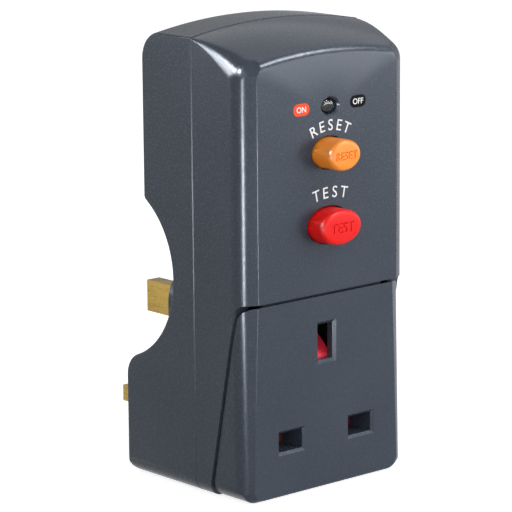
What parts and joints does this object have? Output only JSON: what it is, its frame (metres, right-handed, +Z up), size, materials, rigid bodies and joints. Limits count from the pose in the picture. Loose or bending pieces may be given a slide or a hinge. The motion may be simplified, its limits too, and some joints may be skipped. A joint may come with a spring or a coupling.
{
  "type": "outdoor plug adapter",
  "caption": "Plug-through safety adaptor in dark grey plastic with an orange reset button, a red test button, an indicator window and a shuttered socket, its plug pins behind.",
  "frame": {"origin": "on the plug face, midway between the line and neutral pins", "axes": "+X to the right as the socket is faced, +Y out of the plug face into the wall, +Z up towards the earth pin"},
  "size_m": [0.0526, 0.0724, 0.111],
  "materials": {
    "casing": "fine matt texture",
    "moulded_black": "satin",
    "moulded_natural": "satin",
    "reset_orange": "satin moulded",
    "test_red": "satin moulded",
    "shutter_red": "satin moulded",
    "window_clear": "clear, polished",
    "flag_orange": "matt film",
    "brass": "plain",
    "steel": "plated",
    "ferrite": "ground",
    "winding": "enamelled copper",
    "board_green": "solder resist",
    "varistor_blue": "dipped",
    "lead_sheath": "insulated wire"
  },
  "bodies": {
    "casing": {"button_guide": "moulded_natural", "capacitor": "moulded_black", "carrier_spring": "steel", "case_screws": "steel", "circuit_board": "board_green", "control_chip": "moulded_black", "earth_contact": "brass", "earth_pin": "brass", "flag_pin": "steel", "front_shell": "casing", "indicator_window": "window_clear", "line_contact": "brass", "line_load_lead": "lead_sheath", "line_load_strip": "brass", "line_pin": "brass", "line_pin_sleeve": "moulded_black", "line_supply_bar": "brass", "load_contacts": "brass", "mechanism_base": "moulded_natural", "neutral_contact": "brass", "neutral_load_lead": "lead_sheath", "neutral_load_strip": "brass", "neutral_pin": "brass", "neutral_pin_sleeve": "moulded_black", "neutral_supply_bar": "brass", "plunger_spring": "steel", "rear_shell": "casing", "reset_spring": "steel", "ring_core": "ferrite", "ring_winding": "winding", "shutter_spring": "steel", "socket_block": "moulded_natural", "socket_cover": "casing", "solenoid_bobbin": "moulded_black", "solenoid_coil": "winding", "solenoid_frame": "steel", "supply_contacts": "brass", "test_resistor": "varistor_blue", "test_spring": "steel", "test_terminals": "brass", "varistor": "varistor_blue"},
    "reset_button": {"reset_button": "reset_orange"},
    "contact_carrier": {"contact_carrier": "moulded_natural", "line_moving_contact": "brass", "neutral_moving_contact": "brass"},
    "indicator_flag": {"indicator_flag": "moulded_black", "flag_orange_band": "flag_orange"},
    "test_button": {"test_button": "test_red", "test_contact": "brass"},
    "trip_plunger": {"trip_plunger": "steel"},
    "trip_lever": {"trip_lever": "moulded_natural"},
    "shutter": {"shutter": "shutter_red"}
  },
  "joints": [
    {"name": "reset_press", "type": "slide", "parent": "casing", "child": "reset_button", "axis": [0, 1, 0], "range_m": [0, 0.003], "stiffness_N_per_m": 500, "springref_m": -0.004, "deforming": ["reset_spring"]},
    {"name": "carrier_slide", "type": "slide", "parent": "casing", "child": "contact_carrier", "axis": [0, 1, 0], "range_m": [0, 0.003], "stiffness_N_per_m": 300, "springref_m": -0.003, "deforming": ["carrier_spring"]},
    {"name": "flag_turn", "type": "hinge", "parent": "casing", "child": "indicator_flag", "pos_m": [0, -0.0332, 0.0773], "axis": [1, 0, 0], "range_deg": [0, 40.84]},
    {"name": "test_press", "type": "slide", "parent": "casing", "child": "test_button", "axis": [0, 1, 0], "range_m": [0, 0.002], "stiffness_N_per_m": 400, "springref_m": -0.003, "deforming": ["test_spring"]},
    {"name": "plunger_slide", "type": "slide", "parent": "casing", "child": "trip_plunger", "axis": [1, 0, 0], "range_m": [0, 0.002], "stiffness_N_per_m": 200, "springref_m": -0.003, "deforming": ["plunger_spring"]},
    {"name": "lever_turn", "type": "hinge", "parent": "casing", "child": "trip_lever", "pos_m": [0.01, -0.031, 0.0795], "axis": [0, 1, 0], "range_deg": [0, 20.64]},
    {"name": "shutter_slide", "type": "slide", "parent": "casing", "child": "shutter", "axis": [0, 0, -1], "range_m": [0, 0.0056], "stiffness_N_per_m": 60, "springref_m": -0.004, "deforming": ["shutter_spring"]}
  ],
  "couplings": [
    {"joint": "carrier_slide", "follows": "reset_press", "ratio": 1},
    {"joint": "flag_turn", "follows": "reset_press", "rad_per_m": 237.55},
    {"joint": "lever_turn", "follows": "plunger_slide", "rad_per_m": 180}
  ]
}
